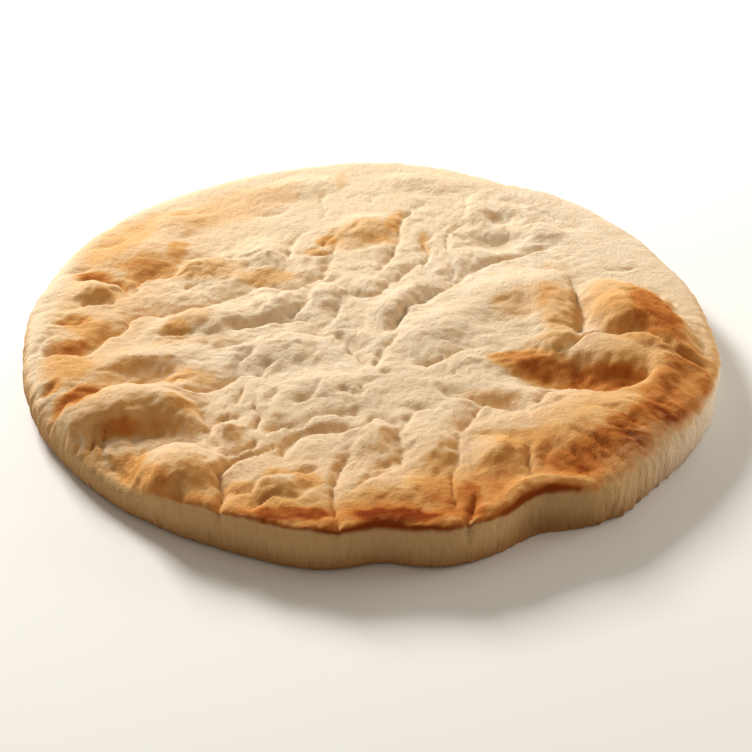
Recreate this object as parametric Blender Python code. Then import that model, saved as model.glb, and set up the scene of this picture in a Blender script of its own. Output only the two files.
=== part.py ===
"""A pre-baked pizza base: one round, flat-bottomed piece of bread with a puffed, creased top crust.

The tables hold millimetres on the plan, seen from above, with +X to the right and -Y towards
the front. MM turns them into Blender's metres.
"""

import math
from typing import NamedTuple

import bmesh
import bpy
import numpy as np
from mathutils import Vector, noise

MM = 0.001

# Driving dimensions
RADIUS = 117.0  # of the side wall, before its lobes
CRUST_HEIGHT = 16.5  # of the crust above the table, between its puffs and creases
BULGE_HEIGHT = 8.0  # where the side wall stands out furthest
FOOT_POWER = 0.8  # of the foot's curve: 1 is a plain arc, less is squarer
LIP_SPREAD = 1.2
RISE_REACH = 6.0  # how far in from the edge the crust starts to rise to it
RISE_POWER = 1.5

# Relief
CREASE_DEPTH = 0.95  # on the depths in the table of creases
NEAR_SHARE = 0.6  # on the near reaches in that table
SWELL_HEIGHT = 1.5  # on the heights in the table of swells
CREASE_BLEND = 2.5  # how crisply creases meet: the power of their sum
RIM_RELIEF = 0.7  # share of the relief that pushes the rounded edge outward
RELIEF_FOOT = 1.0  # how far below the bulge the relief has faded out
ROUTE_STEP = 2.0  # spacing of the points along a crease
WANDER = 1.2  # how far creases stray from their smooth routes
WANDER_SIZE = 11.0
WANDER_SEED = 11  # of the noise that stirs them, so that each run gives the same crust
CRUMPLE_SIZE = 17.0  # of the small puffs all over the crust
CRUMPLE_HEIGHT = 2.2
CRUMPLE_OCTAVES = 3
CRUMPLE_TURN = math.radians(32)  # the way they are drawn out
CRUMPLE_STRETCH = 1.5
CALMING = 0.55  # how much of the crumple the calm areas lose
CALM_SHARPNESS = 1.6
WALL_WAVE = 0.8
WALL_WAVE_SIZE = 17.0
WALL_BLEND = 3.0  # how soon the waves start below the crust

# Mesh
GRID_CELLS = 150  # along each side of the grid that is wrapped over the base
FLAT_SHARE = 0.8  # share of the grid's rings that lie inside the shoulder
TRIANGLE_SHARE = 0.25  # of the modelled triangles that the finished solid keeps

# Material
DOUGH_COLOUR = (0.72, 0.52, 0.30, 1.0)
DOUGH_ROUGHNESS = 0.8

# Lobes and hollows of the outline: (direction in degrees, half width in degrees, millimetres outward)
OUTLINE_LOBES = (
    (22, 27, -3.5),
    (64.5, 8, -2.8),
    (91, 18, 3.2),
    (140, 22, 2.2),
    (185, 30, 0.4),
    (263, 9, 2.2),
    (271.5, 5, -3.6),
    (281, 9, 1.6),
    (297, 7, -7.4),
    (307, 7, 2.4),
    (344, 14, 1.0),
)


class Edge(NamedTuple):
    """How the crust turns down into the side wall in one direction.

    The shoulder is how far its rounding reaches in, squarer where the power is less. The crust may
    rise towards the edge, and a lip may stand out from the wall. The foot tucks in under it.
    """

    direction: float
    shoulder: float
    power: float
    rise: float
    lip: float
    lip_height: float
    foot: float


EDGES = (
    Edge(0, 12, 0.9, 0.0, 0.0, 13.0, 1.0),
    Edge(60, 11, 0.85, 0.0, 0.0, 13.0, 3.0),
    Edge(175, 12, 0.85, 0.0, 0.0, 13.0, 3.5),
    Edge(205, 11, 0.85, 0.0, 0.0, 13.0, 3.2),
    Edge(233, 9, 0.68, 0.0, 0.6, 13.0, 3.0),
    Edge(243, 8, 0.6, 0.0, 0.9, 13.2, 3.0),
    # The hollow at the front, with a thin raised lip
    Edge(266, 8, 0.6, 0.4, 0.9, 13.2, 3.0),
    Edge(272, 7, 0.55, 1.2, 0.9, 13.8, 3.0),
    Edge(284, 8, 0.6, 0.0, 0.9, 13.2, 3.0),
    # The arch at the front right
    Edge(290, 5, 0.5, 1.6, 0.9, 14.2, 0.8),
    Edge(297, 4, 0.5, 3.0, 1.0, 15.4, 0.2),
    Edge(303, 5, 0.6, 1.4, 0.5, 14.8, 0.6),
    Edge(310, 6, 0.65, 0.0, 0.0, 13.0, 1.4),
    Edge(340, 9, 0.8, 0.0, 0.0, 13.0, 0.8),
)


class Crease(NamedTuple):
    """A sharp valley between two puffs.

    Drawn from left to right, its far side is the slope that faces the front.
    """

    depth: float
    far: float
    near: float
    fade_in: float
    fade_out: float
    route: tuple


class Swell(NamedTuple):
    """A broad puff, or a hollow where the height is below zero.

    The less its power is, the more clearly it stands out at its foot.
    """

    height: float
    x: float
    y: float
    half_length: float
    half_width: float
    turn: float
    power: float = 2.0


CREASES = (
    # The fold at the front left and the two behind it
    Crease(3.8, 12, 4.5, 0.0, 0.1, (
        (-104, -61), (-87, -46), (-74, -38.5), (-60, -46.5), (-47, -38), (-36, -38),
    )),
    Crease(3.0, 8, 3, 0.1, 0.2, ((-46, -77), (-50, -63), (-60, -48))),
    Crease(2.4, 5, 4, 0.3, 0.4, ((-86, -71), (-74, -67), (-63, -65))),
    Crease(3.4, 10, 6, 0.2, 0.1, (
        (-95, -34), (-78, -23), (-62, -20), (-52, -19), (-43, -15), (-30, -12), (-12, -12),
    )),
    Crease(3.0, 9, 5, 0.1, 0.1, ((-94, -24), (-84, -7), (-79, 2), (-62, 5), (-46, 15), (-36, 22))),
    Crease(3.0, 8, 5, 0.15, 0.3, ((-45, 23), (-33, 22), (-25, 21), (-18, 28), (-13, 44))),
    # Browned folds near the left rim
    Crease(3.4, 6, 4, 0.15, 0.15, ((-104, 25), (-93, 25), (-83, 16))),
    Crease(3.2, 9, 4, 0.1, 0.2, ((-90, 10), (-80, 24), (-72, 28), (-62, 40), (-51, 46))),
    Crease(2.2, 6, 4, 0.3, 0.1, ((-99, 6), (-86, 10))),
    Crease(3.4, 9, 4, 0.2, 0.2, ((-109, -24), (-92, -21))),
    # The puff in front of the fold
    Crease(2.8, 7, 4, 0.0, 0.15, ((-79, -94), (-73.5, -82), (-61, -74.5), (-50, -71))),
    # The front rim's lobes and the creases that part them
    Crease(2.6, 4, 4, 0.0, 0.3, ((-45, -116), (-45, -88), (-38, -78), (-27, -79))),
    Crease(2.4, 5, 4, 0.2, 0.2, ((-38, -101), (-32, -90), (-14, -84))),
    Crease(2.6, 6, 4, 0.0, 0.2, ((-36, -109), (-29, -100), (-20, -97), (-13, -88))),
    Crease(2.8, 3.5, 5, 0.0, 0.3, ((-9, -120), (-10.5, -95), (-6, -70))),
    Crease(1.6, 5, 4, 0.2, 0.3, ((-5, -96), (8, -81))),
    Crease(2.6, 7, 4, 0.3, 0.3, ((10, -88), (9.5, -66), (19, -53))),
    Crease(2.6, 7, 5, 0.2, 0.1, ((-28, -79), (-21, -67), (-8, -62), (8, -63))),
    Crease(2.6, 6, 4, 0.2, 0.2, ((-34, -69), (-28, -61), (-18, -57), (8, -57))),
    Crease(2.8, 5, 4, 0.0, 0.3, ((25, -104), (26, -78), (29, -62), (40, -50))),
    Crease(2.6, 3.5, 3, 0.0, 0.4, ((30, -116), (30, -96))),
    Crease(2.6, 5, 4, 0.2, 0.2, ((48.5, -92), (47, -73), (35, -67))),
    # The deep hollow at the right, the ridge behind it and the creases round the blister
    Crease(3.8, 12, 8, 0.1, 0.2, ((40, -28), (52, -41), (66, -42.5), (80, -46.5), (90, -31))),
    Crease(4.6, 11, 6, 0.15, 0.1, ((62, -26), (70, -15.5), (84, -13.5), (96, -20), (111, -32))),
    Crease(4.0, 4, 9, 0.1, 0.25, ((66, -18), (70.5, -1), (70.5, 13), (68, 38))),
    # The long crease up the middle, with its branches
    Crease(3.4, 9, 6, 0.1, 0.15, ((4, -7), (14, 10), (27, 22), (40, 39), (54, 46), (69, 50))),
    Crease(2.2, 6, 4, 0.3, 0.3, ((28, 48), (28, 60), (33, 66))),
    Crease(2.6, 6, 4, 0.2, 0.3, ((19.5, 38), (24, 58))),
    Crease(2.8, 7, 4, 0.2, 0.3, ((5, 40), (10, 58), (15, 79))),
    Crease(2.8, 6, 4, 0.2, 0.1, ((-11, 22), (0, 16), (8, 29), (20, 39))),
    # The star in the middle
    Crease(3.0, 5, 4, 0.15, 0.3, ((-10, -12), (1, -30), (6, -14))),
    Crease(2.0, 4, 4, 0.2, 0.3, ((15, -28), (27, -24), (46, -8))),
    Crease(2.0, 6, 4, 0.3, 0.3, ((28, -50), (42, -53), (52, -56))),
    # Small creases of the left half
    Crease(2.0, 5, 4, 0.2, 0.3, ((-37, 4), (-27, 20))),
    Crease(2.0, 5, 4, 0.2, 0.2, ((-26, 2), (-18, 26))),
    Crease(2.6, 7, 4, 0.2, 0.3, ((-34, -10), (-14, -9), (-10, 0))),
    Crease(2.2, 6, 4, 0.2, 0.3, ((-44, -34), (-39, -22), (-29, -17))),
    Crease(2.2, 7, 4, 0.3, 0.3, ((-20, 50), (-8, 44), (8, 50))),
    Crease(2.0, 7, 4, 0.3, 0.3, ((-30, 38), (-28, 54), (-20, 66))),
)

SWELLS = (
    # The blister, the finger beside it and the ridge in front of them
    Swell(5.0, 90, -1, 29, 15, 121, 1.0),
    Swell(1.8, 80, -4, 14, 9, 80, 1.5),
    Swell(2.6, 62, 7, 32, 11, 87, 1.4),
    Swell(2.8, 82, -23, 30, 11, -16, 1.2),
    Swell(-4.2, 67, -38, 24, 8, -6, 1.1),
    Swell(2.4, 94, -38, 16, 7, 75, 1.5),
    Swell(3.6, 64, -65, 27, 20, 15),
    Swell(3.0, 92, -52, 28, 15, 60),
    # The fold at the front left, its hollow, and the puff before it
    Swell(3.9, -77, -54, 27, 13, 17, 1.1),
    Swell(-3.4, -73, -72.5, 26, 13, 10, 0.9),
    Swell(4.2, -59, -86.5, 17, 12.5, -16, 1.1),
    Swell(-1.0, -74, -33, 16, 7, 5),
    # Broad puffs of the left half
    Swell(2.8, -72, -14, 22, 10, 20),
    Swell(2.4, -60, -2, 24, 10, 25),
    Swell(2.4, -30, -20, 22, 14, 10),
    Swell(2.2, -25, 10, 20, 10, 25),
    Swell(1.8, -80, 42, 20, 16, 30),
    Swell(2.4, -96, 18, 9, 9, 0),
    Swell(1.8, -52, 40, 20, 14, 20),
    # The middle and the back
    Swell(2.2, -10, -42, 25, 14, 0),
    Swell(2.2, 20, -8, 26, 14, 45),
    Swell(2.2, 10, 10, 20, 8, 55),
    Swell(2.6, 46, 14, 26, 16, 40),
    Swell(-2.4, 42, 56, 16, 9, 20),
    Swell(2.2, 0, 60, 22, 12, 25),
    # The front rim's lobes
    Swell(2.2, 38, -80, 14, 11, 90),
    Swell(2.2, 18, -74, 9, 20, 0),
    Swell(2.2, 0, -73, 10, 16, 0),
    Swell(2.2, 5, -97, 16, 13, 0),
    Swell(2.2, -28, -97, 15, 12, 10),
)

# Where the crust is smoother: (x, y, half length, half width, turn)
CALM_AREAS = (
    (46, 16, 34, 20, 45),
    (88, 0, 30, 20, 100),
    (84, -22, 26, 9, -18),
    (-30, 84, 90, 34, 14),
    (92, 48, 60, 26, 115),
    (-77, -49, 24, 9, 12),
    (-92, 44, 34, 24, 50),
)


def clear_scene():
    for old in list(bpy.data.objects):
        bpy.data.objects.remove(old)


def eased(value):
    """0 below 0, 1 above 1 and smooth between."""
    value = np.clip(value, 0.0, 1.0)
    return value * value * (3.0 - 2.0 * value)


def past_flat(ring):
    """0 on the flat part of the crust, and 1 at the wall's foot."""
    return np.clip((ring - FLAT_SHARE) / (1.0 - FLAT_SHARE), 0.0, 1.0)


def edge_radius(angle):
    """Radius of the side wall in each direction, with its lobes."""
    radius = np.full_like(angle, RADIUS)
    for direction, half_width, outward in OUTLINE_LOBES:
        apart = (np.degrees(angle) - direction + 180.0) % 360.0 - 180.0
        radius += outward * np.exp(-((apart / half_width) ** 2))
    return radius


def edge_there(angle, name):
    """One of the edge table's columns, read in each direction."""
    directions = [edge.direction for edge in EDGES]
    return np.interp(np.degrees(angle), directions, [getattr(edge, name) for edge in EDGES], period=360.0)


def profile(ring, angle):
    """Distance in from the wall, and height, for rings from 0 in the middle to 1 at the foot."""
    lean = (0.5 - past_flat(ring)) * math.pi
    above = lean > 0.0
    shoulder = edge_there(angle, "shoulder")
    power = np.where(above, edge_there(angle, "power"), FOOT_POWER)
    inward = 1.0 - np.abs(np.cos(lean)) ** power
    climb = np.sign(lean) * np.abs(np.sin(lean)) ** power
    inset = np.where(above, shoulder, edge_there(angle, "foot")) * inward
    height = BULGE_HEIGHT + np.where(above, CRUST_HEIGHT - BULGE_HEIGHT, BULGE_HEIGHT) * climb
    flat = ring < FLAT_SHARE
    inset = np.where(flat, shoulder + (1.0 - ring / FLAT_SHARE) * (RADIUS - shoulder), inset)
    height = np.where(flat, CRUST_HEIGHT, height)
    lip = np.exp(-(((height - edge_there(angle, "lip_height")) / LIP_SPREAD) ** 2))
    return inset - edge_there(angle, "lip") * lip, height


def route_points(corners):
    """A Catmull-Rom curve through the corners."""
    ends = [2.0 * np.array(corners[0]) - corners[1], 2.0 * np.array(corners[-1]) - corners[-2]]
    path = np.array([ends[0], *corners, ends[1]], float)
    points = []
    for before, start, end, after in zip(path, path[1:], path[2:], path[3:]):
        steps = max(2, int(np.linalg.norm(end - start) / ROUTE_STEP))
        for t in np.arange(steps)[:, None] / steps:
            square = 2 * before - 5 * start + 4 * end - after
            cube = 3 * start - before - 3 * end + after
            points.append(0.5 * (2 * start + (end - before) * t + square * t**2 + cube * t**3))
    points.append(path[-2])
    return np.array(points)


def beside(x, y, route):
    """Signed distance to the route, above 0 on its left, and the share of its length at that place."""
    ends = np.diff(route, axis=0)
    lengths = np.hypot(*ends.T)
    starts = np.concatenate([[0.0], np.cumsum(lengths)])
    nearest = np.full(x.shape, np.inf)
    side = np.ones_like(x)
    share = np.zeros_like(x)
    for start, end, length, done in zip(route, ends, lengths, starts):
        dx, dy = x - start[0], y - start[1]
        t = np.clip((dx * end[0] + dy * end[1]) / length**2, 0.0, 1.0)
        apart = np.hypot(dx - t * end[0], dy - t * end[1])
        closer = apart < nearest
        nearest = np.where(closer, apart, nearest)
        side = np.where(closer, np.sign(end[0] * dy - end[1] * dx), side)
        share = np.where(closer, (done + t * length) / starts[-1], share)
    return side * nearest, share


def faded(share, fade_in, fade_out):
    """1 along the middle of a crease, and 0 at an end that fades."""
    start = eased(share / fade_in) if fade_in else 1.0
    end = eased((1.0 - share) / fade_out) if fade_out else 1.0
    return start * end


def creases(x, y):
    """How far the creases cut in."""
    total = np.zeros_like(x)
    for crease in CREASES:
        route = route_points(crease.route)
        reach = max(crease.far, crease.near)
        low, high = route.min(axis=0) - reach, route.max(axis=0) + reach
        near = np.flatnonzero((x > low[0]) & (x < high[0]) & (y > low[1]) & (y < high[1]))
        apart, share = beside(x[near], y[near], route)
        width = np.where(apart > 0.0, crease.far, NEAR_SHARE * crease.near)
        slope = np.clip(1.0 - np.abs(apart) / width, 0.0, 1.0) ** 2
        cut = crease.depth * slope * faded(share, crease.fade_in, crease.fade_out)
        total[near] += cut**CREASE_BLEND
    return CREASE_DEPTH * total ** (1.0 / CREASE_BLEND)


def across_oval(x, y, middle_x, middle_y, half_length, half_width, turn):
    """0 in the middle of an oval and 1 at its edge, squared."""
    cos, sin = math.cos(math.radians(turn)), math.sin(math.radians(turn))
    along = ((x - middle_x) * cos + (y - middle_y) * sin) / half_length
    across = ((y - middle_y) * cos - (x - middle_x) * sin) / half_width
    return along**2 + across**2


def swells(x, y):
    total = np.zeros_like(x)
    for height, *oval, power in SWELLS:
        total += height * np.clip(1.0 - across_oval(x, y, *oval), 0.0, 1.0) ** power
    return SWELL_HEIGHT * total


def liveliness(x, y):
    """1 where the crust is crumpled all over, less where it is smooth."""
    calm = np.zeros_like(x)
    for oval in CALM_AREAS:
        calm = np.maximum(calm, eased(CALM_SHARPNESS * (1.0 - across_oval(x, y, *oval))))
    return 1.0 - CALMING * calm


def wander(x, y):
    """The plan, stirred a little so that no crease runs quite true."""
    noise.seed_set(WANDER_SEED)
    moved = [noise.noise_vector(Vector((a, b, 0.0)) / WANDER_SIZE) for a, b in zip(x, y)]
    shift = WANDER * np.array([vector[:2] for vector in moved])
    return x + shift[:, 0], y + shift[:, 1]


def crumple(x, y):
    """Small puffs that meet in creases."""
    cos, sin = math.cos(CRUMPLE_TURN), math.sin(CRUMPLE_TURN)
    along = (x * cos + y * sin) / (CRUMPLE_SIZE * CRUMPLE_STRETCH)
    across = (y * cos - x * sin) / CRUMPLE_SIZE
    places = [Vector((*place, 0.0)) for place in zip(along, across)]
    heights = np.array([noise.turbulence(place, CRUMPLE_OCTAVES, True) for place in places])
    return CRUMPLE_HEIGHT * (heights - heights.mean())


def crust_relief(x, y):
    x, y = wander(x, y)
    return swells(x, y) - creases(x, y) + crumple(x, y) * liveliness(x, y)


def wrapped_grid(cells):
    """A square grid whose rings become circles, with each vertex's ring and direction."""
    mesh = bmesh.new()
    bmesh.ops.create_grid(mesh, x_segments=cells, y_segments=cells, size=1.0)
    across, up = np.array([vertex.co.xy for vertex in mesh.verts]).T
    ring = np.maximum(np.abs(across), np.abs(up))
    wide = np.abs(across) >= np.abs(up)
    longer = np.where(wide, across, up)
    shorter = np.where(wide, up, across)
    slant = shorter / np.where(longer == 0.0, 1.0, longer) * math.pi / 4.0
    angle = np.where(wide, slant, math.pi / 2.0 - slant) + np.where(longer < 0.0, math.pi, 0.0)
    return mesh, ring, angle


def wall_wave(angle, height):
    """Slow unevenness of the side wall."""
    waves = [
        noise.noise(Vector((RADIUS * math.cos(a), RADIUS * math.sin(a), z)) / WALL_WAVE_SIZE)
        for a, z in zip(angle, height)
    ]
    return WALL_WAVE * np.array(waves)


def base_mesh(name, cells):
    mesh, ring, angle = wrapped_grid(cells)
    inset, height = profile(ring, angle)
    reach = edge_radius(angle) * (1.0 - inset / RADIUS)
    relief = crust_relief(reach * np.cos(angle), reach * np.sin(angle))
    from_edge = (inset - edge_there(angle, "shoulder")) / RISE_REACH
    relief += edge_there(angle, "rise") * np.clip(1.0 - from_edge, 0.0, 1.0) ** RISE_POWER
    relief *= eased((height - BULGE_HEIGHT + RELIEF_FOOT) / (CRUST_HEIGHT - BULGE_HEIGHT))
    turned = np.minimum(past_flat(ring) * math.pi, math.pi / 2.0)
    height = height + relief * np.cos(turned)
    waves = eased(WALL_BLEND * past_flat(ring)) * wall_wave(angle, height)
    reach = reach + RIM_RELIEF * relief * np.sin(turned) + waves
    x, y = reach * np.cos(angle), reach * np.sin(angle)
    x -= (x.max() + x.min()) / 2.0
    y -= (y.max() + y.min()) / 2.0
    for vertex, place in zip(mesh.verts, zip(x, y, height)):
        vertex.co = Vector(place) * MM
    bmesh.ops.contextual_create(mesh, geom=[edge for edge in mesh.edges if edge.is_boundary])
    bmesh.ops.recalc_face_normals(mesh, faces=mesh.faces)
    data = bpy.data.meshes.new(name)
    mesh.to_mesh(data)
    mesh.free()
    data.shade_smooth()
    return data


def baked_dough():
    material = bpy.data.materials.new("baked_dough")
    material.use_nodes = True
    shader = material.node_tree.nodes["Principled BSDF"]
    shader.inputs["Base Color"].default_value = DOUGH_COLOUR
    shader.inputs["Roughness"].default_value = DOUGH_ROUGHNESS
    shader.inputs["Metallic"].default_value = 0.0
    return material


def main():
    clear_scene()
    collection = bpy.data.collections.new("pizza_base")
    bpy.context.scene.collection.children.link(collection)
    base = bpy.data.objects.new("pizza_base", base_mesh("pizza_base", GRID_CELLS))
    base.data.materials.append(baked_dough())
    collection.objects.link(base)
    fewer = base.modifiers.new("Fewer triangles", "DECIMATE")
    fewer.ratio = TRIANGLE_SHARE


main()
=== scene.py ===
"""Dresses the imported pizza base: its fine crust, its browning and flour, and the studio round it.

The tables hold millimetres on the plan, seen from above, with +X to the right and -Y towards
the front. MM turns them into Blender's metres.
"""

import math
from typing import NamedTuple

import bmesh
import bpy
import numpy as np
from bpy.props import FloatProperty, FloatVectorProperty, IntProperty, PointerProperty
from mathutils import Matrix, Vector, noise


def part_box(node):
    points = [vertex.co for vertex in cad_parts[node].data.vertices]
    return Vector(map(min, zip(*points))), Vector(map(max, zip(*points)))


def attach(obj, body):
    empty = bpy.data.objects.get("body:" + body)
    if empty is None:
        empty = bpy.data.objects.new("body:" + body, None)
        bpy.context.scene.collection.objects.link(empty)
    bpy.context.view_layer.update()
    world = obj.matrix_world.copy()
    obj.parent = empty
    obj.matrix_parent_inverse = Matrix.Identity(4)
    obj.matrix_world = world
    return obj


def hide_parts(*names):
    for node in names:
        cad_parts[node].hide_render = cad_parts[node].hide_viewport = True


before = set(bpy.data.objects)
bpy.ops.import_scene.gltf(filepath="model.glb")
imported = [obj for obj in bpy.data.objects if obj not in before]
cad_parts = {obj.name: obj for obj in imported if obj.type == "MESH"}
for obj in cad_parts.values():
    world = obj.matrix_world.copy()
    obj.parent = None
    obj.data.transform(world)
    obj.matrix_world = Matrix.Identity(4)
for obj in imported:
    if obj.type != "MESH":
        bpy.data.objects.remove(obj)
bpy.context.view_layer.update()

bl_info = {
    "name": "Pizza base",
    "version": (1, 0, 0),
    "blender": (4, 5, 0),
    "location": "View3D > Sidebar > Pizza base",
    "description": "Makes a pre-baked pizza base with a puffed, browned crust",
    "category": "Object",
}

NODE = "pizza_base"
MM = 0.001

# The side wall and the crust's rounded edge
FOOT_POWER = 0.8  # 1 is a plain arc, less is squarer
FLAT_SHARE = 0.8  # share of the grid's rings that lie inside the shoulder
LIP_SPREAD = 1.2
RISE_REACH = 6.0  # how far in from the edge the crust starts to rise to it
RISE_POWER = 1.5
RELIEF_FOOT = 1.0  # how far below the bulge the relief has faded out
RIM_RELIEF = 0.7  # share of the relief that pushes the rounded edge outward
SHARP_ANGLE = math.radians(60)

# How the creases run
CREASE_BLEND = 2.5
NEAR_SHARE = 0.6  # of a crease's near width
NEAR_POWER = 2.0  # how gently its near side rounds over
ROUTE_STEP = 2.0
WANDER = 1.8
WANDER_SIZE = 11.0
WANDER_SEED = 11  # of the noise that stirs them, so that each run gives the same crust
RAGGED = 1.1
RAGGED_SIZE_SHARE = 3.2

# The small puffs and wrinkles
BOLDNESS = 1.5  # how sharply the quiet areas end
CALMNESS = 1.6  # and the calm ones
CRUMPLE_SIZE = 17.0
CRUMPLE_OCTAVES = 3
CRUMPLE_TURN = math.radians(32)
CRUMPLE_STRETCH = 1.25
CALMING = 0.55
WRINKLE_SIZE = 5.5
WRINKLE_OCTAVES = 3
PIMPLE_SIZE = 1.7
CRUMB_SIZE = 3.0
CRUMB_OCTAVES = 2
CRUMB_LEAST = 0.35  # where the crust isn't crumbly

# The side wall's waves, torn fibres and pale crumb
WALL_WAVE = 0.8
WALL_WAVE_SIZE = 17.0
WALL_BLEND = 3.0  # how soon the waves start below the crust
FIBRE_SIZE = 1.6
FIBRE_LENGTH = 9.0
FIBRE_TOP = 1.0  # how far below the crust the fibres start
FIBRE_FADE = 3.0
FOOT_TEAR = 1.6  # on the depth of the fibres
FOOT_TEAR_HEIGHT = 3.5
FOOT_TEAR_SIZE = 5.0
FOOT_TEAR_OCTAVES = 3
WALL_WOBBLE = 0.9
WALL_WOBBLE_SIZE = 9.0
WALL_FRAY = 0.25  # share of the softness of the wall's top
WALL_FRAY_SIZE = 1.8
WALL_FRAY_LENGTH = 3.0
WALL_INWARD = 0.35  # how much a step in from the wall counts as a step up

# Lobes and notches of the outline: (direction in degrees, half width in degrees, how far outward)
OUTLINE_LOBES = (
    (22, 27, -3.5),
    (64.5, 8, -2.8),
    (91, 18, 3.2),
    (140, 22, 2.2),
    (185, 30, 0.4),
    (263, 9, 2.2),
    (271.5, 5, -3.6),
    (281, 9, 1.6),
    (297, 7, -7.4),
    (307, 7, 2.4),
    (344, 14, 1.0),
)


class Edge(NamedTuple):
    """How the crust turns down into the side wall in one direction.

    The wall's paleness ends at its top, more or less softly. A lip may stand out just above it, and
    the crust may rise towards its edge. Below the lip the crust is darkened, partly as singeing and
    partly as painted shade where the shoulder faces away from the light.
    """

    direction: float
    shoulder: float
    power: float
    rise: float
    lip: float
    lip_height: float
    foot: float
    wall_top: float
    softness: float
    singe_and_shade: float
    roughness: float


EDGES = [Edge(*row) for row in (
    (0, 9, 0.8, 0, 0, 13, 1, 12.2, 3.2, 0.2, 1.8),
    (60, 11, 0.85, 0, 0, 13, 3, 12, 3, 0.1, 1),
    (120, 11, 0.85, 0, 0, 13, 3, 12, 3, 0.05, 1),
    (175, 12, 0.85, 0, 0, 13, 3.5, 12, 3.6, 0.1, 2),
    (205, 11, 0.85, 0, 0, 13, 3.2, 11.6, 3.4, 0.15, 2.6),
    (225, 9, 0.75, 0, 0.1, 13, 3.2, 11.2, 3.2, 0.2, 2.2),
    (233, 7, 0.66, 0, 0.4, 14, 3, 12.3, 2.6, 0.25, 1.4),
    (243, 5, 0.52, 0.2, 0.7, 15.6, 3, 15, 2, 0.45, 1),
    (262, 4.5, 0.5, 0.6, 0.8, 15.8, 3, 15, 1.8, 0.75, 0.9),
    (271, 4.2, 0.5, 1.6, 0.9, 16, 3, 14, 1.6, 0.95, 0.9),
    (277, 4.2, 0.5, 1.2, 0.9, 16, 3, 14.2, 1.6, 0.9, 0.9),
    (284, 4.5, 0.5, 0.2, 0.8, 15.8, 3, 15, 2, 0.6, 0.9),
    (290, 4, 0.5, 1.4, 0.9, 15.4, 0.6, 13.6, 1.6, 0.6, 0.9),
    (295, 3, 0.45, 3, 1, 15.2, -1, 13.4, 1.8, 0.85, 1),
    (300, 3, 0.45, 3.2, 1, 15.2, -1.2, 13.8, 2, 0.65, 1.4),
    (305, 5, 0.6, 0.8, 0.3, 14.5, 1.2, 14.2, 3.6, 0.3, 2.2),
    (310, 7, 0.75, 0, 0, 13, 1.4, 15.4, 6.5, 0.05, 2.6),
    (325, 9, 0.8, 0, 0, 13, 1.5, 14.4, 5.5, 0.05, 2.6),
    (340, 8, 0.75, 0, 0, 13, 0.8, 12.6, 3.8, 0.1, 2.2),
)]


class Crease(NamedTuple):
    """A sharp valley between two puffs.

    Drawn from left to right, its far side is the slope that faces the front. With a power of 2 that
    side rounds over gently, and with 1 it starts at a sharp edge.
    """

    depth: float
    far: float
    near: float
    route: tuple
    fade_in: float = 0.3
    fade_out: float = 0.3
    power: float = 2.0


class Zone(NamedTuple):
    """A part of the crust in one direction, from somewhere along its radius outwards."""

    amount: float
    direction: float
    half_width: float
    start: float
    fade: float
    end: float = math.inf


class Oval(NamedTuple):
    """An oval part of the crust, and how much of something it has, such as height.

    The less its power is, the more clearly a puff stands out at its foot.
    """

    amount: float
    x: float
    y: float
    half_length: float
    half_width: float
    turn: float
    power: float = 2.0


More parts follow.
